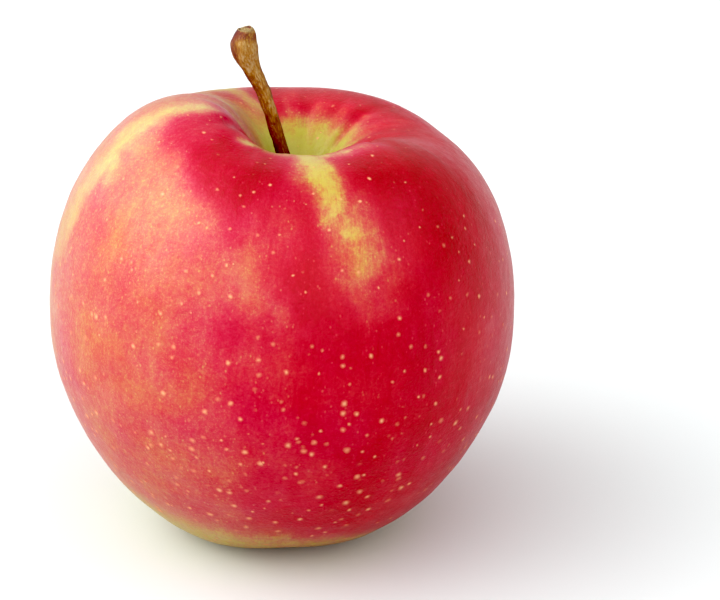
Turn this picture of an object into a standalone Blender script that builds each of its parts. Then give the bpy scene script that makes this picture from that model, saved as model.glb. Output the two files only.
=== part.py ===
"""An apple, resting as it lies on a table: one fruit with five lobes, its stem, and the dried flower
parts in the eye underneath. Run with blender --background --python part.py, or from the text editor.

The fruit is drawn upright around its core line, then leaned until its foot is level. Units: metres.
Azimuths are in degrees, from +X towards +Y.
"""

from math import cos, exp, pi, radians, sin, tan

import bmesh
import bpy
from mathutils import Matrix, Vector

MM = 0.001

# Fruit, along its core line: foot ring, widest ring, crown ring, stem cavity and eye
WIDEST_RADIUS = 37.7 * MM
WIDEST_HEIGHT = 34.8 * MM
CROWN_RADIUS = 16.5 * MM
CROWN_HEIGHT = 67.6 * MM
CAVITY_DEPTH = 14.0 * MM
FOOT_RADIUS = 10.5 * MM
EYE_DEPTH = 6.5 * MM
SHOULDER_FULLNESS = 2.15  # 2 is a round shoulder, more is squarer
BASE_FULLNESS = 1.75

# Lobes: azimuth, rise of the crown, swell of the side as a share of its radius, spread of the foot
LOBES = (
    (190, 4.0 * MM, 0.035, 0.0 * MM),
    (240, 0.5 * MM, 0.025, -0.5 * MM),
    (315, 2.5 * MM, -0.010, 1.0 * MM),
    (60, 0.5 * MM, -0.020, -1.0 * MM),
    (125, -0.5 * MM, -0.005, 0.5 * MM),
)
LOBE_SHARPNESS = 5.0
SIDE_RIPPLE = 0.037  # share of the radius that every lobe stands out by
CROWN_RIPPLE = 1.2 * MM
FOOT_RIPPLE = 1.6 * MM
FOOT_BLEND = 4  # the higher, the more evenly neighbouring lobes share the weight
FOOT_SPREAD_HEIGHT = 7.0 * MM
FOOT_SPREAD_REACH = 11.0 * MM
RING_REACH = 19.0 * MM  # how far the crown and foot ripples carry over the shoulder and base
CALM_SHARE = 0.3  # the middle share of the cavity and of the eye, which the lobes leave round
LOBED_SHARE = 0.8
LOW_RIPPLE_SHARE = 0.5  # how much of the side ripple is left at the foot
SWELL_GAIN = 1.4  # the swell is full from this many times below the crown

# How the fruit lies
LEAN_RIGHT = radians(5.0)
LEAN_BACK = radians(1.5)
REST_FLAT = 0.35 * MM  # height taken off the lowest lobes, as the skin flattens where it rests

# Stem: its middle line, upright around the core line, from the socket floor to the knob
SOCKET_DEPTH = 3.5 * MM
FIT_GAP = 0.3 * MM
STEM_RADIUS = 1.15 * MM
STEM_FOOT_RADIUS = 1.45 * MM
KNOB_RADIUS = 2.3 * MM
STEM_RISE = 29.0 * MM
STEM_LEAN = 12.2 * MM
STEM_LEAN_AZIMUTH = 188.0
STEM_BEND = 1.25  # 1 is a straight slant, more bends over later
FOOT_TAPER_SHARE = 0.22
KNOB_SHARE = 0.93
KNOB_LENGTH_SHARE = 0.12

# Eye: five dried sepals in a shallow pit, with the tuft of stamens between them
SEPAL_COUNT = 5
SEPAL_RING_RADIUS = 2.7 * MM
SEPAL_GAP = 0.9 * MM
SEPAL_LENGTH = 5.0 * MM
SEPAL_THICKNESS = 0.7 * MM
SEPAL_CURL = 0.24  # share of its length that the tip curls outwards
SEPAL_CURL_START = 0.35
SEPAL_SHAPE = 1.5  # how late along the blade the curl and the taper come
SEPAL_TAPER = 0.75
SEPAL_THINNING = 0.4
SEPAL_CUP = 0.12
SEPAL_SECTION = ((-1, -1), (0, -1), (1, -1), (1, 1), (0, 1), (-1, 1))  # (across, outwards)
PIT_DEPTH = 2.0 * MM
TUFT_GAP = 0.6 * MM
TUFT_LENGTH = 2.6 * MM
TUFT_ROOT_SHARE = 0.75
TUFT_SHARES = (0.0, 0.35, 0.7, 1.0)

AZIMUTH_STEPS = 72
SHOULDER_RINGS = 12
BASE_RINGS = 10
CAVITY_RINGS = 7
EYE_RINGS = 4
STEM_RINGS = 15
STEM_SIDES = 16
SEPAL_RINGS = 7
TUFT_SIDES = 12
WELD = 0.01 * MM
CUT_CLOSE = 0.001 * MM
SHARP_ANGLE = radians(40)

SKIN = ("skin", (0.62, 0.03, 0.045), 0.32)
BARK = ("bark", (0.30, 0.15, 0.045), 0.72)
DRY_LEAF = ("dry_leaf", (0.16, 0.09, 0.045), 0.85)


def clear_scene():
    for obj in list(bpy.data.objects):
        bpy.data.objects.remove(obj, do_unlink=True)


def material(name, colour, roughness):
    found = bpy.data.materials.get(name)
    if found:
        return found
    made = bpy.data.materials.new(name)
    made.use_nodes = True
    shader = made.node_tree.nodes["Principled BSDF"]
    shader.inputs["Base Color"].default_value = (*colour, 1.0)
    shader.inputs["Roughness"].default_value = roughness
    shader.inputs["Metallic"].default_value = 0.0
    return made


def add_object(name, bm, finish):
    bmesh.ops.recalc_face_normals(bm, faces=bm.faces)
    mesh = bpy.data.meshes.new(name)
    bm.to_mesh(mesh)
    bm.free()
    mesh.shade_smooth()
    mesh.set_sharp_from_angle(angle=SHARP_ANGLE)
    mesh.materials.append(material(*finish))
    obj = bpy.data.objects.new(name, mesh)
    bpy.context.scene.collection.objects.link(obj)
    return obj


def quarter(steps):
    """Angles from the start of a quarter turn to its end, the end left to the next stretch."""
    return [0.5 * pi * step / steps for step in range(steps)]


def socket_radius():
    return STEM_FOOT_RADIUS + FIT_GAP


def pit_radius():
    return SEPAL_RING_RADIUS + 0.5 * SEPAL_THICKNESS + FIT_GAP


def sepal_width():
    return 2 * pi * SEPAL_RING_RADIUS / SEPAL_COUNT - SEPAL_GAP


def tuft_radius():
    return SEPAL_RING_RADIUS - 0.5 * SEPAL_THICKNESS - TUFT_GAP


def cavity_height(radius):
    """Height of the cavity wall, which is round at the crown and steep near the stem."""
    inward = 1 - radius / CROWN_RADIUS
    return CROWN_HEIGHT - CAVITY_DEPTH * inward**2


def eye_height(radius):
    return 0.5 * EYE_DEPTH * (1 + cos(pi * radius / FOOT_RADIUS))


def fruit_outline():
    """(radius, height) points from the floor of the pit in the eye to the floor of the stem socket."""
    pit = pit_radius()
    socket = socket_radius()
    points = [(pit, eye_height(pit) + PIT_DEPTH)]
    for ring in range(EYE_RINGS):
        radius = pit + (FOOT_RADIUS - pit) * ring / EYE_RINGS
        points.append((radius, eye_height(radius)))
    for turn in quarter(BASE_RINGS):
        out = sin(turn) ** (2 / BASE_FULLNESS)
        up = 1 - cos(turn) ** (2 / BASE_FULLNESS)
        points.append((FOOT_RADIUS + (WIDEST_RADIUS - FOOT_RADIUS) * out, WIDEST_HEIGHT * up))
    for turn in quarter(SHOULDER_RINGS):
        out = cos(turn) ** (2 / SHOULDER_FULLNESS)
        up = sin(turn) ** (2 / SHOULDER_FULLNESS)
        radius = CROWN_RADIUS + (WIDEST_RADIUS - CROWN_RADIUS) * out
        points.append((radius, WIDEST_HEIGHT + (CROWN_HEIGHT - WIDEST_HEIGHT) * up))
    for ring in range(CAVITY_RINGS + 1):
        radius = CROWN_RADIUS + (socket - CROWN_RADIUS) * ring / CAVITY_RINGS
        points.append((radius, cavity_height(radius)))
    points.append((socket, cavity_height(socket) - SOCKET_DEPTH))
    return points


def bump(azimuth, centre):
    return exp(LOBE_SHARPNESS * (cos(azimuth - radians(centre)) - 1))


def ease(value, low, high):
    """0 up to low, 1 from high on, and a smooth rise between."""
    share = min(max((value - low) / (high - low), 0.0), 1.0)
    return share * share * (3 - 2 * share)


def average_ridge():
    turns = [2 * pi * step / AZIMUTH_STEPS for step in range(AZIMUTH_STEPS)]
    return sum(bump(turn, lobe[0]) for turn in turns for lobe in LOBES) / AZIMUTH_STEPS


def lobed(point, mean_ridge):
    """A point of the round fruit moved to where the lobes and the level foot put it."""
    radius = point.xy.length
    azimuth = point.xy.angle_signed(Vector((1, 0)), 0.0)
    on_top = point.z > WIDEST_HEIGHT
    bumps = [bump(azimuth, lobe[0]) for lobe in LOBES]
    ridge = sum(bumps) - mean_ridge
    foot_ridge = sum(height**FOOT_BLEND for height in bumps) ** (1 / FOOT_BLEND)
    rise = sum(height * lobe[1] for height, lobe in zip(bumps, LOBES))
    swell = sum(height * lobe[2] for height, lobe in zip(bumps, LOBES))
    spread = sum(height * lobe[3] for height, lobe in zip(bumps, LOBES))

    up = min(max(point.z / CROWN_HEIGHT, 0.0), 1.0)
    ring = CROWN_RADIUS if on_top else FOOT_RADIUS
    inside = ease(radius / ring, CALM_SHARE, LOBED_SHARE)
    near_foot = exp(-(((point.z - FOOT_SPREAD_HEIGHT) / FOOT_SPREAD_REACH) ** 2)) * inside
    ripple = SIDE_RIPPLE * (LOW_RIPPLE_SHARE + (1 - LOW_RIPPLE_SHARE) * up)
    grow = 1 + inside * (ripple * ridge + swell * min(SWELL_GAIN * up, 1.0))
    wide = radius * grow + spread * near_foot
    x = wide * cos(azimuth)
    y = wide * sin(azimuth)

    near_ring = exp(-(((wide - ring) / RING_REACH) ** 2))
    if on_top:
        lift = (CROWN_RIPPLE * ridge + rise) * near_ring * inside
    else:
        level = x * tan(LEAN_RIGHT) + y * tan(LEAN_BACK)
        lift = near_ring * inside * (level - FOOT_RIPPLE * foot_ridge)
    return Vector((x, y, point.z + lift))


def lean():
    """The turn from the upright core line to the way the fruit lies."""
    return Matrix.Rotation(LEAN_RIGHT, 4, "Y") @ Matrix.Rotation(-LEAN_BACK, 4, "X")


def fruit_mesh():
    """The fruit turned from its outline, lobed, leaned and trimmed flat where it rests."""
    bm = bmesh.new()
    rings = [bm.verts.new((radius, 0, height)) for radius, height in fruit_outline()]
    edges = [bm.edges.new(pair) for pair in zip(rings, rings[1:])]
    bmesh.ops.spin(
        bm,
        geom=rings + edges,
        cent=(0, 0, 0),
        axis=(0, 0, 1),
        angle=2 * pi,
        steps=AZIMUTH_STEPS,
        use_merge=True,
    )
    bmesh.ops.remove_doubles(bm, verts=bm.verts, dist=WELD)
    bmesh.ops.holes_fill(bm, edges=[edge for edge in bm.edges if edge.is_boundary])
    mean_ridge = average_ridge()
    for vert in bm.verts:
        vert.co = lobed(vert.co, mean_ridge)
    bmesh.ops.transform(bm, matrix=lean(), verts=bm.verts)
    return bm


def trim_foot(bm, table):
    """Cuts the fruit level at the table, and closes the small flat spots that it rests on."""
    geom = bm.verts[:] + bm.edges[:] + bm.faces[:]
    cut = bmesh.ops.bisect_plane(
        bm, geom=geom, dist=CUT_CLOSE, plane_co=(0, 0, table), plane_no=(0, 0, -1), clear_outer=True
    )
    rim = [item for item in cut["geom_cut"] if isinstance(item, bmesh.types.BMEdge)]
    bmesh.ops.holes_fill(bm, edges=rim)


def place_of(x, y, height):
    """A point beside the upright core line, as it lies."""
    return lean() @ Vector((x, y, height))


def tube(name, centres, radii, sides, finish, settle):
    """A closed round bar through the centres, with a radius for each."""
    bm = bmesh.new()
    rings = []
    for index, (centre, radius) in enumerate(zip(centres, radii)):
        before = centres[max(index - 1, 0)]
        after = centres[min(index + 1, len(centres) - 1)]
        turn = (after - before).to_track_quat("Z", "Y").to_matrix().to_4x4()
        matrix = settle @ Matrix.Translation(centre) @ turn
        ring = bmesh.ops.create_circle(bm, segments=sides, radius=radius, matrix=matrix)["verts"]
        rings.append(ring)
    for low, high in zip(rings, rings[1:]):
        for side in range(sides):
            after = (side + 1) % sides
            bm.faces.new((low[side], low[after], high[after], high[side]))
    bm.faces.new(rings[0])
    bm.faces.new(rings[-1])
    return add_object(name, bm, finish)


def stem_centre(share):
    """The stem's middle line: straight up inside the socket, then bending over."""
    floor = cavity_height(socket_radius()) - SOCKET_DEPTH + FIT_GAP
    buried = SOCKET_DEPTH / STEM_RISE
    free = max(share - buried, 0.0) / (1 - buried)
    out = STEM_LEAN * free**STEM_BEND
    azimuth = radians(STEM_LEAN_AZIMUTH)
    return place_of(out * cos(azimuth), out * sin(azimuth), floor + STEM_RISE * share)


def stem_radius(share):
    """Thick at the socket, thinnest at a third, and swollen to a knob at the top."""
    foot = (STEM_FOOT_RADIUS - STEM_RADIUS) * exp(-((share / FOOT_TAPER_SHARE) ** 2))
    knob = (KNOB_RADIUS - STEM_RADIUS) * exp(-(((share - KNOB_SHARE) / KNOB_LENGTH_SHARE) ** 2))
    return STEM_RADIUS + foot + knob


def add_stem(settle):
    shares = [ring / (STEM_RINGS - 1) for ring in range(STEM_RINGS)]
    centres = [stem_centre(share) for share in shares]
    radii = [stem_radius(share) for share in shares]
    return tube("stem", centres, radii, STEM_SIDES, BARK, settle)


def add_sepal(index, settle):
    """One dried sepal: a thin tapering blade, rooted in the pit and curling outwards below it."""
    bm = bmesh.new()
    turn = Matrix.Rotation(2 * pi * index / SEPAL_COUNT, 4, "Z")
    root = eye_height(pit_radius()) + PIT_DEPTH - FIT_GAP
    rings = []
    for step in range(SEPAL_RINGS):
        share = step / (SEPAL_RINGS - 1)
        curl = SEPAL_CURL * SEPAL_LENGTH * max(share - SEPAL_CURL_START, 0) ** SEPAL_SHAPE
        radius = SEPAL_RING_RADIUS + curl
        height = root - SEPAL_LENGTH * share
        half = 0.5 * sepal_width() * (1 - SEPAL_TAPER * share**SEPAL_SHAPE)
        thick = 0.5 * SEPAL_THICKNESS * (1 - SEPAL_THINNING * share)
        ring = []
        for side, face in SEPAL_SECTION:
            cup = SEPAL_CUP * sepal_width() * side * side
            spot = Vector((radius + face * thick - cup, side * half, height))
            ring.append(bm.verts.new(settle @ lean() @ turn @ spot))
        rings.append(ring)
    for low, high in zip(rings, rings[1:]):
        for side in range(len(SEPAL_SECTION)):
            after = (side + 1) % len(SEPAL_SECTION)
            bm.faces.new((low[side], low[after], high[after], high[side]))
    bm.faces.new(rings[0])
    bm.faces.new(rings[-1])
    return add_object(f"sepal_{index + 1}", bm, DRY_LEAF)


def add_stamens(settle):
    """The dried tuft between the sepals, as one frayed bundle."""
    root = eye_height(pit_radius()) + PIT_DEPTH - FIT_GAP
    centres = [place_of(0, 0, root - TUFT_LENGTH * share) for share in TUFT_SHARES]
    widening = 1 - TUFT_ROOT_SHARE
    radii = [tuft_radius() * (TUFT_ROOT_SHARE + widening * share) for share in TUFT_SHARES]
    return tube("stamens", centres, radii, TUFT_SIDES, DRY_LEAF, settle)


def middle(values):
    return 0.5 * (min(values) + max(values))


def main():
    clear_scene()
    fruit = fruit_mesh()
    table = min(vert.co.z for vert in fruit.verts) + REST_FLAT
    trim_foot(fruit, table)
    across = middle([vert.co.x for vert in fruit.verts])
    along = middle([vert.co.y for vert in fruit.verts])
    settle = Matrix.Translation((-across, -along, -table))
    bmesh.ops.transform(fruit, matrix=settle, verts=fruit.verts)
    add_object("fruit", fruit, SKIN)
    add_stem(settle)
    for index in range(SEPAL_COUNT):
        add_sepal(index, settle)
    add_stamens(settle)


main()
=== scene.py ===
"""The looks of an apple at rest: its skin, its stem, and the dried eye underneath."""

from math import atan2, cos, degrees, exp, pi, radians, sin

import bpy
from mathutils import Matrix, Vector, noise


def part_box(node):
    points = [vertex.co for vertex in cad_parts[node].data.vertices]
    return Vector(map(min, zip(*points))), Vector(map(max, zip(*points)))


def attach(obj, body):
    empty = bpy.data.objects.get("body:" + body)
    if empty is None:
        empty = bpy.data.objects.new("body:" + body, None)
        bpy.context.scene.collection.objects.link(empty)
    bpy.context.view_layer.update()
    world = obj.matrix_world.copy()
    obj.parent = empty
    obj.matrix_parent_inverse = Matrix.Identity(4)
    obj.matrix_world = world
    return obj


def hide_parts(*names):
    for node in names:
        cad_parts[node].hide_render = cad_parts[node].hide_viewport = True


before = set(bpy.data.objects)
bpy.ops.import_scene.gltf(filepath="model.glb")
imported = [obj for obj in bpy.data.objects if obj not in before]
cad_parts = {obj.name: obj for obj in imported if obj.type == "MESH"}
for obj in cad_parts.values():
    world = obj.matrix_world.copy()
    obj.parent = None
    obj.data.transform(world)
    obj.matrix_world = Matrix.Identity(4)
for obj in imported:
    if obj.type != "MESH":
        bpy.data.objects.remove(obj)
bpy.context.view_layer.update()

MM = 0.001

# The core line runs from the middle of the eye to the foot of the stem
CORE_LEAN_RIGHT = radians(5.0)
CORE_LEAN_BACK = radians(1.5)
CORE_TURN = Matrix.Rotation(CORE_LEAN_RIGHT, 3, "Y") @ Matrix.Rotation(-CORE_LEAN_BACK, 3, "X")
HEART_HEIGHT = 35.0 * MM  # where on the core line the angles down from the crown are taken
FOOT_RING_TILT = 0.8 * MM  # the stem's lowest ring leans, and its points lie within this height

# Skin mesh
SKIN_CELL = 0.65 * MM
SKIN_EASING = 30
UNEVENNESS_SIZE = 13 * MM
UNEVENNESS = 0.45 * MM

# The collar of skin that closes round the stem
SOCKET_DEPTH = 3.5 * MM
COLLAR_RADIUS = 3.4 * MM
COLLAR_TOP_RADIUS = 1.0 * MM
COLLAR_ROOT = 1.5 * MM
COLLAR_RISE = 1.6 * MM

# The skin that covers the root of the eye
COVER_RADIUS = 3.9 * MM
COVER_TOP_RADIUS = 3.0 * MM
COVER_BELOW = 1.7 * MM
COVER_ABOVE = 2.0 * MM

# Radial folds at the rim of the cavity, and the turns between which they rise and fade
PUCKER_HEIGHT = 0.8 * MM
PUCKER_START = 7.0
PUCKER_FULL = 16.0
PUCKER_EASE = 17.0
PUCKER_END = 34.0
NEAR_RIM_SINK = 0.8  # how much lower the near rim lies, as a share of a fold's height

# Sides of the fruit that have grown in their own way, where the pale lip and the creamy cheek also
# carry a painted highlight: middle azimuth, reach either way, fade
NEAR_RIM = (272, 70, 50)
RED_WALL = (204, 58, 35)
# The pale band along the near rim is partly skin with thin blush and partly a painted highlight along
# the rim
PALE_LIP = (274, 60, 25)
UNRIPE_SIDE = (150, 70, 45)
CREAMY_SIDE = (192, 38, 30)
CHEEK_CREAM_AND_HIGHLIGHT = (232, 50, 30)
# The cheek where the big window's reflection falls: its cream is partly the skin's own colour and
# partly a painted highlight
OLIVE_FRONT = (275, 50, 30)

# How red the skin has grown around the fruit, by azimuth, before the patches are added.
# Azimuths run from +X towards +Y; turns run from 0 at the cavity to 180 at the eye. Degrees.
BLUSH_AROUND = (
    (0, 1.05),
    (35, 0.85),
    (75, 0.62),
    (110, 0.42),
    (150, 0.22),
    (185, 0.24),
    (212, 0.32),
    (232, 0.38),
    (252, 0.62),
    (268, 1.0),
    (282, 1.25),
    (320, 1.2),
    (360, 1.05),
)
LEAST_BLUSH = 0.05
CAVITY_EDGE = 18.5
BASE_EDGE = 131.0
LIP_TURN = 23.5
LIP_WIDTH = 4.5
STREAK_END = 6.0  # how far a streak fades out beyond its ends

# Blush patches: azimuth, turn, half width, half length, how much redder (or paler, below zero)
BLUSH_PATCHES = (
    (220, 29, 16, 9, 0.5),
    (214, 18, 20, 6, 0.7),
    (243, 32, 18, 12, 1.0),
    (255, 42, 9, 13, 0.45),
    (307, 29, 20, 12, 0.75),
    (326, 46, 14, 24, 0.55),
    (0, 20, 40, 9, 0.45),
    (80, 26, 60, 8, 0.9),
    (262, 54, 11, 13, -0.42),
    # A painted highlight: this slightly paler patch lightens the blush where the window's reflection
    # falls on the left-front cheek
    (236, 53, 22, 13, -0.06),
    (256, 97, 18, 18, -0.11),
    (262, 114, 24, 16, -0.25),
    (276, 72, 6, 9, 0.25),
    (247, 75, 9, 16, -0.12),
    (291, 60, 9, 9, -0.45),
    (28, 21, 14, 9, -0.8),
)

# Bare streaks down from the cavity: azimuth and turn at the top, at the foot, half width, strength
BARE_STREAKS = (
    (271, 17, 275, 32, 10.5, 1.0),
    (275, 31, 284, 45, 10.0, 0.92),
    (284, 41, 290, 56, 13.0, 0.74),
    (256, 15, 247, 25, 5.0, 0.55),
    (300, 15, 316, 27, 6.0, 0.5),
    (200, 27, 197, 48, 9.0, 0.76),
    (197, 46, 194, 62, 8.0, 0.62),
    (188, 56, 188, 110, 7.0, 0.45),
    (126, 22, 130, 55, 10.0, 0.8),
    (131, 55, 136, 92, 7.0, 0.5),
    (158, 24, 154, 48, 9.0, 0.65),
    (153, 48, 148, 84, 6.5, 0.42),
    (95, 24, 92, 50, 6.0, 0.5),
)


# ---------------------------------------------------------------- helpers


def only(piece):
    """Selects one piece and makes it active."""
    bpy.ops.object.select_all(action="DESELECT")
    piece.select_set(True)
    bpy.context.view_layer.objects.active = piece
    return piece


def apply_modifier(piece, kind, **settings):
    only(piece)
    modifier = piece.modifiers.new(kind.title(), kind)
    for name, value in settings.items():
        setattr(modifier, name, value)
    bpy.ops.object.modifier_apply(modifier=modifier.name)


def join(pieces, name):
    only(pieces[0])
    for piece in pieces:
        piece.select_set(True)
    bpy.ops.object.join()
    joined = bpy.context.view_layer.objects.active
    joined.name = name
    joined.data.name = name
    return joined


def settle(piece, name):
    """Puts the piece's place into its mesh, and its object at the origin."""
    only(piece)
    bpy.ops.object.transform_apply(location=True, rotation=True, scale=True)
    bpy.ops.object.shade_smooth()
    piece.name = name
    piece.data.name = name
    return piece


def wear(piece, node_names, material):
    """Gives a finished piece its material and its place in the frame."""
    piece.data.materials.clear()
    piece.data.materials.append(material)
    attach(piece, "root")
    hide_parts(*node_names)
    return piece


def copy_of_node(node, name):
    """A free copy of a CAD node with its loose triangles merged."""
    bpy.ops.object.select_all(action="DESELECT")
    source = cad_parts[node]
    copy = bpy.data.objects.new(name, source.data.copy())
    bpy.context.scene.collection.objects.link(copy)
    only(copy)
    bpy.ops.object.mode_set(mode="EDIT")
    bpy.ops.mesh.select_all(action="SELECT")
    bpy.ops.mesh.remove_doubles(threshold=0.002 * MM)
    bpy.ops.mesh.normals_make_consistent(inside=False)
    bpy.ops.object.mode_set(mode="OBJECT")
    return copy


def ease(value, low, high):
    """0 up to low, 1 from high on, and a smooth rise between."""
    share = min(max((value - low) / (high - low), 0.0), 1.0)
    return share * share * (3 - 2 * share)


def turn_between(azimuth, other):
    """Signed degrees from one azimuth to another, the short way round."""
    return (azimuth - other + 180) % 360 - 180


# ---------------------------------------------------------------- the core line


def stem_foot():
    """The middle of the stem's lowest ring, at the top of the core line."""
    points = [vert.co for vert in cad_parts["stem"].data.vertices]
    lowest = min(point.z for point in points)
    ring = [point for point in points if point.z < lowest + FOOT_RING_TILT]
    return sum(ring, Vector()) / len(ring)


def core_point(height):
    """The point of the core line at a height above the table."""
    eye = sum(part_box("stamens"), Vector()) / 2
    along = CORE_TURN @ Vector((0, 0, 1))
    return eye + along * (height - eye.z) / along.z


def on_fruit(point):
    """A point seen from the heart: its upright place, azimuth, turn and side."""
    spot = CORE_TURN.inverted() @ (point - HEART)
    azimuth = degrees(atan2(spot.y, spot.x))
    turn = degrees(spot.angle(Vector((0, 0, 1))))
    return spot, azimuth, turn, spot.xy.normalized()


HEART = core_point(HEART_HEIGHT)


# ---------------------------------------------------------------- fruit


def plug(radius, low, high, top_radius):
    """A short cone on the core line between two heights, to close an opening in the flesh."""
    bpy.ops.mesh.primitive_cone_add(
        vertices=48,
        radius1=radius,
        radius2=top_radius,
        depth=high - low,
        location=(core_point(low) + core_point(high)) / 2,
        rotation=CORE_TURN.to_euler(),
    )
    return bpy.context.active_object


def fruit_skin():
    """The fruit's own shape, with the flesh closed round the stem, then evened out like skin."""
    fruit = copy_of_node("fruit", "fruit_skin")
    foot = stem_foot().z
    collar_top = foot + SOCKET_DEPTH + COLLAR_RISE
    collar = plug(COLLAR_RADIUS, foot - COLLAR_ROOT, collar_top, COLLAR_TOP_RADIUS)
    eye_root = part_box("stamens")[1].z
    cover = plug(COVER_RADIUS, eye_root - COVER_BELOW, eye_root + COVER_ABOVE, COVER_TOP_RADIUS)
    fruit = join([fruit, collar, cover], "fruit_skin")
    apply_modifier(fruit, "REMESH", mode="VOXEL", voxel_size=SKIN_CELL)
    apply_modifier(fruit, "SMOOTH", factor=0.5, iterations=SKIN_EASING)
    pucker(fruit)
    dent(fruit)
    return settle(fruit, "fruit_skin")


def grown_lines(side, turn, around, down):
    """Uneven growth in lines that run from the cavity to the eye, from about -1 to 1."""
    return noise.noise(Vector((side.x * around, side.y * around, turn * down)))


def facing(azimuth, middle, reach, fade):
    """1 on the side around a middle azimuth, and 0 beyond its reach either way."""
    return ease(reach - abs(turn_between(azimuth, middle)), 0.0, fade)


def pucker(fruit):
    """Folds the skin into soft radial ridges where it dips into the cavity."""
    for vert in fruit.data.vertices:
        _, azimuth, turn, side = on_fruit(vert.co)
        if turn > PUCKER_END:
            continue
        fold = grown_lines(side, turn, around=2.6, down=0.012)
        fold += 0.5 * grown_lines(side, turn, around=6, down=0.02)
        fold -= NEAR_RIM_SINK * facing(azimuth, *NEAR_RIM)
        fade = ease(turn, PUCKER_START, PUCKER_FULL) * (1 - ease(turn, PUCKER_EASE, PUCKER_END))
        vert.co += vert.normal * fold * fade * PUCKER_HEIGHT


def dent(fruit):
    """The faint unevenness of a grown fruit."""
    texture = bpy.data.textures.new("growth", "CLOUDS")
    texture.noise_scale = UNEVENNESS_SIZE
    apply_modifier(fruit, "DISPLACE", texture=texture, strength=UNEVENNESS, mid_level=0.5)


def patch_weight(azimuth, turn, patch):
    """What a patch adds to the blush: full in its middle, and nothing outside it."""
    middle, middle_turn, half_width, half_length, strength = patch
    across = turn_between(azimuth, middle) / half_width
    down = (turn - middle_turn) / half_length
    return ease(exp(-(across * across) - down * down), 0.15, 0.7) * strength


def streak_weight(azimuth, turn, streak):
    """1 along the middle of a streak, falling off to its sides and beyond its ends."""
    top_azimuth, top, foot_azimuth, foot, width, strength = streak
    share = min(max((turn - top) / (foot - top), 0.0), 1.0)
    middle = top_azimuth + turn_between(foot_azimuth, top_azimuth) * share
    across = turn_between(azimuth, middle) / width
    beyond = max(top - turn, turn - foot, 0.0) / STREAK_END
    return exp(-(across**2) - beyond**2) * strength


def blush_around(azimuth):
    """The even blush at an azimuth, eased between the values given around the fruit."""
    azimuth %= 360
    for (before, low), (after, high) in zip(BLUSH_AROUND, BLUSH_AROUND[1:]):
        if azimuth <= after:
            return low + (high - low) * ease(azimuth, before, after)
    return BLUSH_AROUND[0][1]


def growth_at(point):
    """Where a point lies on the fruit, and how red, bare, green and creamy it has grown, with a
    painted highlight in the pale lip and the cheek.
    """
    spot, azimuth, turn, side = on_fruit(point)
    place = spot / MM
    wave = noise.noise(place * 0.055)
    ripple = noise.noise(place * 0.16)
    fray = noise.noise(place * 0.45)
    lane = grown_lines(side, turn, around=7, down=0.03)
    drift = azimuth + 5.0 * wave + 4.0 * ripple + 2.5 * fray
    slip = turn + 4.0 * lane + 3.0 * ripple + 2.0 * fray

    blush = blush_around(drift) * (1 + 0.25 * lane + 0.2 * wave + 0.2 * ripple)
    blush += sum(patch_weight(drift, slip, patch) for patch in BLUSH_PATCHES)

    edge = CAVITY_EDGE - 6.5 * facing(azimuth, *RED_WALL) + 3.0 * lane + 3.0 * ripple
    cavity = 1 - ease(turn, edge - 7, edge + 5)
    base = ease(turn + 4 * lane + 6 * wave + 2 * ripple, BASE_EDGE - 12, BASE_EDGE + 14)
    # The pale lip: partly thin blush, partly a painted highlight where the rim catches the light; it
    # is made barer, less green and creamier
    lip = facing(azimuth, *PALE_LIP) * exp(-(((turn - LIP_TURN) / LIP_WIDTH) ** 2))
    streaks = max(streak_weight(drift, slip, streak) for streak in BARE_STREAKS)
    pale_lip_and_highlight = (0.86 + 0.3 * lane + 0.2 * ripple) * lip

    olive = facing(azimuth, *OLIVE_FRONT) * ease(55 - turn, 0.0, 25.0)
    unripe = facing(azimuth, *UNRIPE_SIDE)
    # The cheek's share of cream is partly a painted highlight where the window's reflection falls
    cream_and_highlight = max(0.55 * facing(azimuth, *CREAMY_SIDE), 0.18 * facing(azimuth, *CHEEK_CREAM_AND_HIGHLIGHT))
    return (side.x, side.y, turn), {
        "blush": max(blush, LEAST_BLUSH),
        "bare": max(streaks, cavity, 0.85 * base, pale_lip_and_highlight),
        "green": max(cavity * (1 - 0.4 * lip), 0.55 * base, 0.7 * unripe, 0.55 * olive),
        "cream": max(cream_and_highlight * (1 - cavity), 0.3 * lip),
    }


def write_layer(piece, name, values, kind="FLOAT"):
    """Keeps a value, or a vector, for each point of the piece, for its material to read."""
    layer = piece.data.attributes.new(name, kind, "POINT")
    layer.data.foreach_set("value" if kind == "FLOAT" else "vector", values)


def ripen(skin):
    """Writes where each point lies on the fruit, and how it has grown, with a painted highlight in
    the pale lip and the cheek.
    """
    grown = [growth_at(vert.co) for vert in skin.data.vertices]
    meridian = [part for place, _ in grown for part in place]
    write_layer(skin, "meridian", meridian, "FLOAT_VECTOR")
    for name in ("blush", "bare", "green", "cream"):
        write_layer(skin, name, [layers[name] for _, layers in grown])


# ---------------------------------------------------------------- materials


class Nodes:
    """A node tree in the making. Each call adds a node and gives its output."""

    def __init__(self, tree):
        self.tree = tree

    def feed(self, socket, value):
        """Links an output into a socket, or sets the socket to a plain value."""
        if isinstance(value, bpy.types.NodeSocket):
            self.tree.links.new(value, socket)
        else:
            socket.default_value = value

    def add(self, kind, **settings):
        node = self.tree.nodes.new("ShaderNode" + kind)
        for name, value in settings.items():
            setattr(node, name, value)
        return node

    def maths(self, operation, *values):
        node = self.add("Math", operation=operation)
        for socket, value in zip(node.inputs, values):
            self.feed(socket, value)
        return node.outputs[0]

    def dot(self, vector, axis):
        """How far a vector reaches along an axis."""
        node = self.add("VectorMath", operation="DOT_PRODUCT")
        self.feed(node.inputs[0], vector)
        self.feed(node.inputs[1], axis)
        return node.outputs["Value"]


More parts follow.
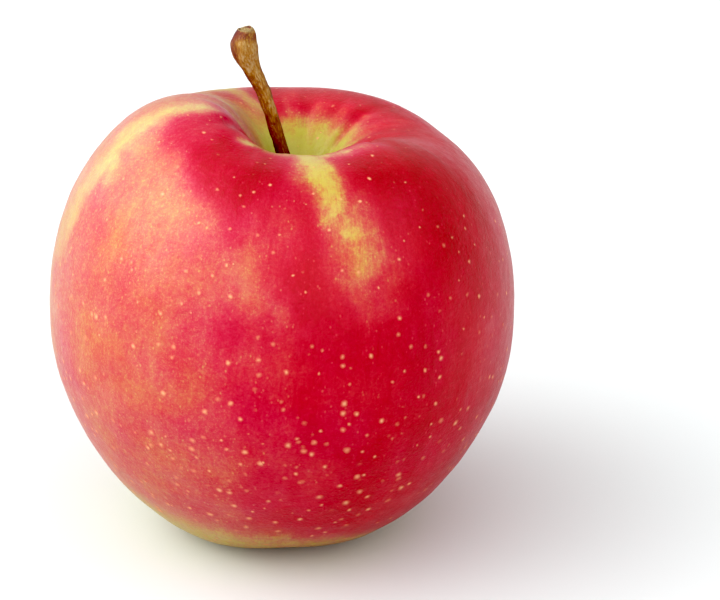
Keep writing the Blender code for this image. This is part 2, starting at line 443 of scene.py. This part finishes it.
class Finish(Nodes):
    """A material in the making."""

    def __init__(self, name):
        self.material = bpy.data.materials.new(name)
        self.material.use_nodes = True
        super().__init__(self.material.node_tree)
        self.shader = self.tree.nodes["Principled BSDF"]

    def layer(self, name, output="Fac"):
        return self.add("Attribute", attribute_name=name).outputs[output]

    def place(self):
        """Object coordinates in millimetres."""
        return self.stretch(self.add("TexCoord").outputs["Object"], (1000, 1000, 1000))

    def stretch(self, vector, factors):
        node = self.add("VectorMath", operation="MULTIPLY")
        self.feed(node.inputs[0], vector)
        self.feed(node.inputs[1], factors)
        return node.outputs[0]

    def noise(self, vector, scale, detail=2.0, roughness=0.5, distortion=0.0):
        node = self.add("TexNoise")
        self.feed(node.inputs["Vector"], vector)
        node.inputs["Scale"].default_value = scale
        node.inputs["Detail"].default_value = detail
        node.inputs["Roughness"].default_value = roughness
        node.inputs["Distortion"].default_value = distortion
        return node.outputs[0]

    def cells(self, vector, scale):
        node = self.add("TexVoronoi")
        self.feed(node.inputs["Vector"], vector)
        node.inputs["Scale"].default_value = scale
        return node.outputs["Distance"], node.outputs["Color"]

    def rise(self, value, low, high, start=0.0, end=1.0):
        """A smooth rise from start to end as the value goes from low to high."""
        node = self.add("MapRange", interpolation_type="SMOOTHSTEP")
        given = {"Value": value, "From Min": low, "From Max": high, "To Min": start, "To Max": end}
        for name, amount in given.items():
            self.feed(node.inputs[name], amount)
        return node.outputs[0]

    def mix(self, share, first, second, blend="MIX"):
        node = self.add("Mix", data_type="RGBA", blend_type=blend)
        self.feed(node.inputs[0], share)
        self.feed(node.inputs[6], first)
        self.feed(node.inputs[7], second)
        return node.outputs[2]

    def bump(self, height, distance, strength=1.0, under=None):
        node = self.add("Bump")
        node.inputs["Strength"].default_value = strength
        node.inputs["Distance"].default_value = distance
        self.feed(node.inputs["Height"], height)
        if under is not None:
            self.feed(node.inputs["Normal"], under)
        return node.outputs["Normal"]


YELLOW_GROUND = (0.62, 0.51, 0.075, 1)
GREEN_GROUND = (0.44, 0.43, 0.045, 1)
CREAM_GROUND = (0.66, 0.62, 0.26, 1)
RED_STAIN = (0.81, 0.008, 0.26, 1)  # the light that one full layer of blush lets through
DOT_TAN = (0.86, 0.34, 0.17, 1)
DOT_CORK = (0.86, 0.54, 0.28, 1)

# Pale dots, in millimetres, and tiny flecks between them
DOT_SPACING = 2.15
DOT_RADIUS_CROWN = 0.27
DOT_RADIUS_BASE = 0.51
FLECK_SPACING = 0.85


def skin_finish():
    """Thin waxy skin: a yellow-green ground under a red blush that grows in fine streaks."""
    f = Finish("apple_skin")
    place = f.place()
    meridian = f.layer("meridian", "Vector")
    turn = f.add("SeparateXYZ")
    f.feed(turn.inputs[0], meridian)
    turn = turn.outputs["Z"]
    bare = f.layer("bare")

    broad_streaks = f.noise(f.stretch(meridian, (20, 20, 0.07)), 1.0, 4.0, 0.6, 0.6)
    fine_streaks = f.noise(f.stretch(meridian, (60, 60, 0.22)), 1.0, 3.0, 0.6, 0.5)
    clouds = f.noise(place, 0.10, 4.0, 0.6)
    mottle = f.noise(place, 0.7, 5.0, 0.72)
    grain = f.noise(place, 1.9, 3.0, 0.7)

    patterns = (
        (broad_streaks, 0.60),
        (fine_streaks, 0.45),
        (clouds, 0.4),
        (mottle, 1.1),
        (grain, 1.1),
    )
    growth = 1 - 0.5 * sum(weight for _, weight in patterns)
    for pattern, weight in patterns:
        growth = f.maths("MULTIPLY_ADD", pattern, weight, growth)
    density = f.maths("MULTIPLY", f.layer("blush"), growth)

    ragged = f.maths("MULTIPLY_ADD", f.maths("SUBTRACT", mottle, 0.5), 0.7, bare)
    ragged = f.maths("MULTIPLY_ADD", f.maths("SUBTRACT", fine_streaks, 0.5), 0.35, ragged)
    shown = f.rise(ragged, 0.05, 1.0, 0.0, 0.97)
    density = f.maths("MULTIPLY", density, f.maths("SUBTRACT", 1.0, shown))

    dot_share, dot_core, dot_halo = lenticels(f, place, turn)
    fleck_share = flecks(f, place)
    thin = f.rise(f.layer("blush"), 1.25, 0.3)
    speckle = f.rise(f.noise(place, 2.8, 3.0, 0.75), 0.46, 0.70)
    speckle = f.maths("MULTIPLY", speckle, f.maths("MULTIPLY_ADD", thin, 0.36, 0.17))
    thinned = f.maths("MAXIMUM", speckle, fleck_share)
    density = f.maths("MULTIPLY", density, f.maths("SUBTRACT", 1.0, thinned))
    density = f.maths("MAXIMUM", density, 0.0)

    # The cream layer carries the skin's own cream and the painted highlight on the pale lip and the
    # cheek
    cream_share = f.maths("MULTIPLY_ADD", f.rise(clouds, 0.35, 0.7), 0.25, f.layer("cream"))
    ground = f.mix(f.layer("green"), YELLOW_GROUND, GREEN_GROUND)
    ground = f.mix(cream_share, ground, CREAM_GROUND)
    stain = f.add("Gamma")
    stain.inputs["Color"].default_value = RED_STAIN
    f.feed(stain.inputs["Gamma"], density)
    colour = f.mix(1.0, ground, stain.outputs[0], "MULTIPLY")
    colour = f.mix(f.maths("MULTIPLY", dot_share, 0.8), colour, DOT_TAN)
    colour = f.mix(f.maths("MULTIPLY", dot_core, 0.5), colour, DOT_CORK)
    f.feed(f.shader.inputs["Base Color"], colour)

    roughness = f.rise(mottle, 0.3, 0.7, 0.30, 0.38)
    roughness = f.maths("MULTIPLY_ADD", dot_share, 0.18, roughness)
    f.feed(f.shader.inputs["Roughness"], roughness)
    f.shader.inputs["Coat Weight"].default_value = 0.15
    f.shader.inputs["Coat Roughness"].default_value = 0.2
    f.shader.inputs["IOR"].default_value = 1.45

    pores = f.bump(grain, 0.09 * MM)
    waves = f.bump(f.noise(place, 0.35, 2.0, 0.5), 0.16 * MM, 1.0, pores)
    dots = f.bump(dot_halo, 0.05 * MM, 1.0, waves)
    f.feed(f.shader.inputs["Normal"], dots)
    return f.material


def lenticels(f, place, turn):
    """The pale corky dots: small and far apart at the crown, bigger and closer near the base."""
    wobble = f.add("TexNoise")
    f.feed(wobble.inputs["Vector"], place)
    wobble.inputs["Scale"].default_value = 1.0
    shifted = f.add("VectorMath", operation="MULTIPLY_ADD")
    f.feed(shifted.inputs[0], wobble.outputs["Color"])
    shifted.inputs[1].default_value = (0.5, 0.5, 0.5)
    f.feed(shifted.inputs[2], place)
    distance, chance = f.cells(shifted.outputs[0], 1 / DOT_SPACING)
    apart = f.add("SeparateColor")
    f.feed(apart.inputs[0], chance)
    size = f.rise(turn, 30.0, 120.0, DOT_RADIUS_CROWN, DOT_RADIUS_BASE)
    size = f.maths("MULTIPLY", size, f.maths("MULTIPLY_ADD", apart.outputs[0], 0.7, 0.6))
    spread = f.maths("DIVIDE", f.maths("MULTIPLY", distance, DOT_SPACING), size)
    share = f.rise(spread, 1.25, 0.25)
    share = f.maths("MULTIPLY", share, f.maths("MULTIPLY_ADD", apart.outputs[2], 0.45, 0.60))
    core = f.rise(spread, 0.65, 0.1)
    halo = f.rise(spread, 1.5, 0.2)
    return share, core, halo


def flecks(f, place):
    """Tiny pale specks between the dots."""
    distance, chance = f.cells(f.stretch(place, (1, 1, 0.7)), 1 / FLECK_SPACING)
    apart = f.add("SeparateColor")
    f.feed(apart.inputs[0], chance)
    some = f.rise(apart.outputs[1], 0.25, 0.95)
    return f.maths("MULTIPLY", f.rise(distance, 0.30, 0.10), f.maths("MULTIPLY", some, 0.6))


BARK_TONES = (
    (0.0, (0.095, 0.013, 0.013, 1)),
    (0.32, (0.20, 0.036, 0.026, 1)),
    (0.54, (0.27, 0.085, 0.030, 1)),
    (0.76, (0.45, 0.23, 0.040, 1)),
    (1.0, (0.62, 0.47, 0.24, 1)),
)
BARK_SPECK = (0.58, 0.42, 0.30, 1)
DARK_PITH = (0.30, 0.19, 0.07, 1)
PALE_PITH = (0.55, 0.42, 0.20, 1)


def bark_finish():
    """Woody stem: fibres along it, rust-brown to ochre, with painted light that makes the side
    towards the big window ochre and the far side rust-brown.
    """
    f = Finish("stem_bark")
    straight = f.layer("straight", "Vector")
    fibres = f.noise(f.stretch(straight, (4.0, 4.0, 0.9)), 1.0, 5.0, 0.65, 0.4)
    blotches = f.noise(straight, 0.42, 4.0, 0.6)
    fleck = f.noise(f.stretch(straight, (6, 6, 2.2)), 1.0, 3.0, 0.6)
    tone = f.add("ValToRGB")
    ramp = tone.color_ramp
    while len(ramp.elements) < len(BARK_TONES):
        ramp.elements.new(0.5)
    for element, (position, colour) in zip(ramp.elements, BARK_TONES):
        element.position = position
        element.color = colour
    value = f.maths("MULTIPLY_ADD", f.maths("SUBTRACT", fibres, 0.5), 1.2, 0.43)
    value = f.maths("MULTIPLY_ADD", f.maths("SUBTRACT", blotches, 0.5), 0.9, value)
    # adds the painted light on the window side, and the stem's own tone along its length
    value = f.maths("ADD", value, f.layer("painted_light_and_tone"))
    f.feed(tone.inputs[0], value)
    speck = f.maths("MULTIPLY", f.rise(f.noise(straight, 3.4, 3.0, 0.6), 0.58, 0.70), 0.32)
    bark = f.mix(speck, tone.outputs[0], BARK_SPECK)
    pith = f.mix(f.rise(fleck, 0.35, 0.65), DARK_PITH, PALE_PITH)
    f.feed(f.shader.inputs["Base Color"], f.mix(f.layer("scar"), bark, pith))
    f.feed(f.shader.inputs["Roughness"], f.rise(fibres, 0.3, 0.7, 0.5, 0.75))
    f.feed(f.shader.inputs["Normal"], f.bump(fleck, 0.1 * MM, 0.7, f.bump(fibres, 0.3 * MM)))
    return f.material


DRY_DARK = (0.13, 0.07, 0.035, 1)
DRY_PALE = (0.38, 0.25, 0.13, 1)
DRY_FIBRE = (0.42, 0.32, 0.18, 1)


def dry_leaf_finish():
    """Withered flower parts: mottled brown, with paler fibres."""
    f = Finish("dry_leaf")
    place = f.place()
    mottle = f.noise(place, 0.9, 4.0, 0.65)
    fibre = f.noise(f.stretch(place, (3, 3, 0.6)), 1.0, 3.0, 0.6)
    colour = f.mix(f.rise(mottle, 0.3, 0.7), DRY_DARK, DRY_PALE)
    colour = f.mix(f.maths("MULTIPLY", fibre, 0.5), colour, DRY_FIBRE)
    f.feed(f.shader.inputs["Base Color"], colour)
    f.feed(f.shader.inputs["Roughness"], f.rise(fibre, 0.3, 0.7, 0.7, 0.9))
    f.feed(f.shader.inputs["Normal"], f.bump(fibre, 0.15 * MM))
    return f.material


def table_finish():
    """A pale matt table. It lights the fruit as if it were greyer, so the red stays deep below."""
    f = Finish("pale_table")
    speckle = f.noise(f.place(), 0.02, 3.0, 0.5)
    looked_at = f.mix(speckle, (0.78, 0.815, 0.815, 1), (0.81, 0.845, 0.845, 1))
    seen = f.add("LightPath").outputs["Is Camera Ray"]
    f.feed(f.shader.inputs["Base Color"], f.mix(seen, (0.62, 0.62, 0.62, 1), looked_at))
    f.shader.inputs["Roughness"].default_value = 0.9
    return f.material


# ---------------------------------------------------------------- stem

STEM_SIDES = 20
STEM_STEPS = 34
STEM_RISE = 29.9 * MM
# (share of the way up, how far it has leaned out)
STEM_PATH = (
    (0.12, 0.0),
    (0.22, 1.7 * MM),
    (0.35, 3.4 * MM),
    (0.50, 4.9 * MM),
    (0.65, 6.6 * MM),
    (0.80, 9.2 * MM),
    (0.90, 10.7 * MM),
    (1.00, 10.4 * MM),
)
STEM_LEAN_AZIMUTH = radians(188.0)
STEM_RADIUS = 1.12 * MM
STEM_FOOT_SWELL = 0.4 * MM
STEM_FOOT_REACH = 0.16
STEM_WAVER = 0.10 * MM
KNOB_SWELL = 1.15 * MM
KNOB_PLACE = 0.93
KNOB_REACH_BELOW = 0.10
KNOB_REACH_ABOVE = 0.075
LINE_STEPS = 60
LINE_EASING = 12

# The top of the knob, as steps along the stem and how much each ring shrinks
KNOB_ROUNDING = ((0.35 * MM, 0.84), (0.20 * MM, 0.84))
SCAR_HOLLOW = ((-0.12 * MM, 0.84), (-0.12 * MM, 0.72))
SCAR_SLANT = radians(28)
SCAR_RIM = 0.4 * MM
# The side of the stem that is painted lighter, as painted light: it faces the big window at the front
# left
PAINTED_LIGHT_SIDE = Vector((-0.95, -0.3))


def stem_place(share):
    """The stem's middle line: straight up inside the socket, then leaning over in a slow bend."""
    out = 0.0
    for (before, low), (after, high) in zip(STEM_PATH, STEM_PATH[1:]):
        out += (high - low) * min(max((share - before) / (after - before), 0.0), 1.0)
    upright = Vector((out * cos(STEM_LEAN_AZIMUTH), out * sin(STEM_LEAN_AZIMUTH), STEM_RISE * share))
    return stem_foot() + CORE_TURN @ upright


def stem_curve():
    """The middle line as a curve, and its length."""
    points = [stem_place(step / LINE_STEPS) for step in range(LINE_STEPS + 1)]
    for _ in range(LINE_EASING):
        threes = zip(points, points[1:], points[2:])
        inner = [(before + 2 * here + after) / 4 for before, here, after in threes]
        points = [points[0], *inner, points[-1]]
    data = bpy.data.curves.new("stem_line", "CURVE")
    data.dimensions = "3D"
    spline = data.splines.new("POLY")
    spline.points.add(len(points) - 1)
    for spot, point in zip(spline.points, points):
        spot.co = (*point, 1.0)
    curve = bpy.data.objects.new("stem_line", data)
    bpy.context.scene.collection.objects.link(curve)
    return curve, sum((after - before).length for before, after in zip(points, points[1:]))


def stem_width(share):
    """Thick in the socket, thinnest at a third, and swollen to a knob at the top."""
    foot = STEM_FOOT_SWELL * exp(-((share / STEM_FOOT_REACH) ** 2))
    reach = KNOB_REACH_BELOW if share < KNOB_PLACE else KNOB_REACH_ABOVE
    knob = KNOB_SWELL * exp(-(((share - KNOB_PLACE) / reach) ** 2))
    waver = STEM_WAVER * sin(9 * share + 1.0)
    return STEM_RADIUS + foot + knob + waver


def extrude_to(step, growth, centre):
    """Draws the selected ring or cap out by a step, and sizes it about its new centre."""
    bpy.ops.mesh.extrude_region_move(TRANSFORM_OT_translate={"value": step})
    bpy.ops.transform.resize(value=(growth, growth, growth), center_override=centre)


def straight_stem(length):
    """The stem before it bends, drawn up ring by ring from its foot, with its slanted scar on top."""
    bpy.ops.object.select_all(action="DESELECT")
    bpy.ops.mesh.primitive_circle_add(vertices=STEM_SIDES, radius=stem_width(0.0), fill_type="NGON")
    stem = bpy.context.active_object
    bpy.ops.object.mode_set(mode="EDIT")
    bpy.ops.mesh.select_all(action="SELECT")
    centre = Vector((0, 0, 0))
    for step in range(1, STEM_STEPS + 1):
        share = step / STEM_STEPS
        rise = Vector((0, 0, length / STEM_STEPS))
        centre = centre + rise
        extrude_to(rise, stem_width(share) / stem_width(share - 1 / STEM_STEPS), centre)
    for step, growth in KNOB_ROUNDING:
        extrude_to((0, 0, step), growth, centre)
    bpy.ops.transform.rotate(value=SCAR_SLANT, orient_axis="X", center_override=centre)
    for step, growth in SCAR_HOLLOW:
        extrude_to((0, 0, step), growth, centre)
    bpy.ops.mesh.inset(thickness=SCAR_RIM)
    bpy.ops.object.mode_set(mode="OBJECT")
    apply_modifier(stem, "SUBSURF", levels=2, render_levels=2)
    return stem


def roughen(piece, size, strength, stretch):
    """Raises grain on a piece, drawn out along it by the stretch."""
    texture = bpy.data.textures.new("grain", "CLOUDS")
    texture.noise_scale = size
    texture.noise_depth = 2
    bpy.ops.object.empty_add()
    guide = bpy.context.active_object
    guide.scale = (1, 1, stretch)
    bpy.context.view_layer.update()
    apply_modifier(piece, "DISPLACE", texture=texture, strength=strength, mid_level=0.5,
                   texture_coords="OBJECT", texture_coords_object=guide)
    bpy.data.objects.remove(guide)


def mark_stem(stem, length):
    """Writes each point's place on the straight stem, its tone with the painted light on the side
    towards the big window, and the scar on top.
    """
    straight = []
    painted_light_and_tone = []
    scar = []
    for vert in stem.data.vertices:
        share = vert.co.z / length
        side = vert.co.xy.normalized() if vert.co.xy.length > 0 else Vector((0, 0))
        cut = ease(vert.normal.z, 0.55, 0.85) * ease(share, 0.94, 0.97)
        # painted light: the side towards the big window is painted lighter, the far side darker
        lit = 0.34 * side.dot(PAINTED_LIGHT_SIDE)
        dark_foot = 0.42 * ease(0.66 - share, 0.0, 0.35)
        pale_knob = 0.10 * ease(share, 0.72, 0.9)
        dark_rim = 0.24 * ease(share, 0.95, 0.985) * (1 - cut)
        straight.extend(vert.co / MM)
        painted_light_and_tone.append(lit - dark_foot + pale_knob - dark_rim)
        scar.append(cut)
    write_layer(stem, "straight", straight, "FLOAT_VECTOR")
    write_layer(stem, "painted_light_and_tone", painted_light_and_tone)
    write_layer(stem, "scar", scar)


def stem_piece():
    """The stem: drawn up straight, marked and roughened, then bent along its line."""
    curve, length = stem_curve()
    stem = straight_stem(length)
    mark_stem(stem, length)
    roughen(stem, size=0.9 * MM, strength=0.42 * MM, stretch=9.0)
    roughen(stem, size=1.6 * MM, strength=0.50 * MM, stretch=2.0)
    apply_modifier(stem, "CURVE", object=curve, deform_axis="POS_Z")
    bpy.data.objects.remove(curve)
    return settle(stem, "stem_wood")


# ---------------------------------------------------------------- eye


SEPAL_COUNT = 5
CRINKLE_SIZE = 1.3 * MM
CRINKLE_HEIGHT = 0.5 * MM
THREAD_COUNT = 24
THREAD_SIDES = 8
THREAD_RADIUS = 0.17 * MM
THREAD_GROWTH = (0.9, 0.95, 0.95, 1.0, 1.7, 0.55)  # ring by ring, down to a small knob
TUFT_RADIUS = 1.35 * MM
TUFT_GATHER = 0.7  # how close together the threads are rooted
GOLDEN_TURN = 2.39996  # radians from one thread to the next, which spreads them evenly


def sepal_piece(index):
    """One withered sepal, crinkled from the plain blade."""
    sepal = copy_of_node(f"sepal_{index}", f"dry_sepal_{index}")
    apply_modifier(sepal, "SUBSURF", levels=3, render_levels=3)
    texture = bpy.data.textures.new("crinkle", "CLOUDS")
    texture.noise_scale = CRINKLE_SIZE
    apply_modifier(sepal, "DISPLACE", texture=texture, strength=CRINKLE_HEIGHT, mid_level=0.6)
    return settle(sepal, f"dry_sepal_{index}")


def filament(number):
    """One dried stamen: a thin bent thread with a small knob, pointing down out of the pit."""
    out = TUFT_RADIUS * (number / THREAD_COUNT) ** 0.5
    azimuth = number * GOLDEN_TURN
    side = Vector((cos(azimuth), sin(azimuth), 0))
    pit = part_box("stamens")[1].z
    centre = core_point(pit) + CORE_TURN @ (side * out * TUFT_GATHER)
    bpy.ops.mesh.primitive_circle_add(
        vertices=THREAD_SIDES,
        radius=THREAD_RADIUS,
        location=centre,
        fill_type="NGON",
    )
    thread = bpy.context.active_object
    bpy.ops.object.mode_set(mode="EDIT")
    bpy.ops.mesh.select_all(action="SELECT")
    length = (2.3 + 0.7 * sin(number * 5.1)) * MM
    for step, growth in enumerate(THREAD_GROWTH):
        sway = side * (0.10 + 0.05 * sin(number * 3.3 + step)) * MM * step * 0.5
        drop = CORE_TURN @ (sway + Vector((0, 0, -length / len(THREAD_GROWTH))))
        centre = centre + drop
        extrude_to(drop, growth, centre)
    bpy.ops.object.mode_set(mode="OBJECT")
    return thread


def stamen_tuft():
    """The dried tuft between the sepals, thread by thread."""
    tuft = join([filament(number) for number in range(THREAD_COUNT)], "dry_stamens")
    bpy.ops.object.mode_set(mode="EDIT")
    bpy.ops.mesh.select_all(action="SELECT")
    bpy.ops.mesh.normals_make_consistent(inside=False)
    bpy.ops.object.mode_set(mode="OBJECT")
    return settle(tuft, "dry_stamens")


# ---------------------------------------------------------------- studio


# The camera looks down from in front, at a point to the right of the fruit's middle
CAMERA_TILT = radians(24.41)
CAMERA_DISTANCE = 0.5
LENS = 153
SENSOR_WIDTH = 36
AIM = Vector((12.6 * MM, 0, 37 * MM))
AIM_RISE = 1.48 * MM

TABLE_SIZE = 12
DISPLAY_GAMMA = 0.95
BLACK_LEVEL = 0.042

# An even sky, with soft lobes of light. A lobe's azimuth is counted from the front to the right:
# azimuth, height, half width, half length, power
SKY_LEVEL = 0.39
SKY_SEEN = 1.1
SKY_LOBES = (
    (-70, 38, 0.75, 0.45, 1.65),
    (-85, 39, 0.45, 0.36, 3.1),
    (35, 20, 0.8, 0.5, 0.66),
    (58, 48, 0.50, 0.40, 0.6),
    (0, 88, 0.9, 0.9, 0.4),
    (170, 38, 0.40, 0.25, 0.4),
)


def camera():
    bpy.ops.object.camera_add()
    made = bpy.context.active_object
    forward = Vector((0, cos(CAMERA_TILT), -sin(CAMERA_TILT)))
    up = Vector((0, sin(CAMERA_TILT), cos(CAMERA_TILT)))
    made.location = AIM + up * AIM_RISE - forward * CAMERA_DISTANCE
    made.rotation_euler = (pi / 2 - CAMERA_TILT, 0, 0)
    made.data.lens = LENS
    made.data.sensor_width = SENSOR_WIDTH
    made.data.clip_start = 0.01
    bpy.context.scene.camera = made


def studio():
    """The table, the sky, and how the picture is developed."""
    view = bpy.context.scene.view_settings
    view.view_transform = "Standard"
    view.exposure = 0.0
    view.gamma = DISPLAY_GAMMA
    view.use_curve_mapping = True
    view.curve_mapping.black_level = (BLACK_LEVEL, BLACK_LEVEL, BLACK_LEVEL)
    view.curve_mapping.update()
    bpy.ops.mesh.primitive_plane_add(size=TABLE_SIZE)
    floor = bpy.context.active_object
    floor.name = "table"
    floor.data.materials.append(table_finish())
    soft_sky()


def sky_lobe(sky, direction, azimuth, height, half_width, half_length):
    """A soft round of light centred on one direction, with none of it behind."""
    azimuth, height = radians(azimuth), radians(height)
    towards = Vector((sin(azimuth) * cos(height), -cos(azimuth) * cos(height), sin(height)))
    right = Vector((cos(azimuth), sin(azimuth), 0))
    above = towards.cross(right)
    across = sky.maths("DIVIDE", sky.dot(direction, right), half_width)
    over = sky.maths("DIVIDE", sky.dot(direction, above), half_length)
    squares = sky.maths("MULTIPLY_ADD", over, over, sky.maths("MULTIPLY", across, across))
    light = sky.maths("EXPONENT", sky.maths("MULTIPLY", squares, -1.0))
    ahead = sky.maths("GREATER_THAN", sky.dot(direction, towards), 0.0)
    return sky.maths("MULTIPLY", light, ahead)


def soft_sky():
    """Even light all round, strongest from a big soft window at the front left, a little above.
    The camera never sees it darker than white, so nothing grey shows past the table's end."""
    world = bpy.data.worlds.new("studio")
    bpy.context.scene.world = world
    world.use_nodes = True
    sky = Nodes(world.node_tree)
    direction = sky.add("TexCoord").outputs["Generated"]
    total = SKY_LEVEL
    for *shape, power in SKY_LOBES:
        total = sky.maths("MULTIPLY_ADD", sky_lobe(sky, direction, *shape), power, total)
    seen = sky.add("LightPath").outputs["Is Camera Ray"]
    total = sky.maths("MAXIMUM", total, sky.maths("MULTIPLY", seen, SKY_SEEN))
    background = world.node_tree.nodes["Background"]
    background.inputs["Color"].default_value = (1, 1, 1, 1)
    sky.feed(background.inputs["Strength"], total)


# ---------------------------------------------------------------- the apple

skin = fruit_skin()
ripen(skin)
wear(skin, ["fruit"], skin_finish())
wear(stem_piece(), ["stem"], bark_finish())
dry_leaf = dry_leaf_finish()
for index in range(1, SEPAL_COUNT + 1):
    wear(sepal_piece(index), [f"sepal_{index}"], dry_leaf)
wear(stamen_tuft(), ["stamens"], dry_leaf)
camera()
studio()
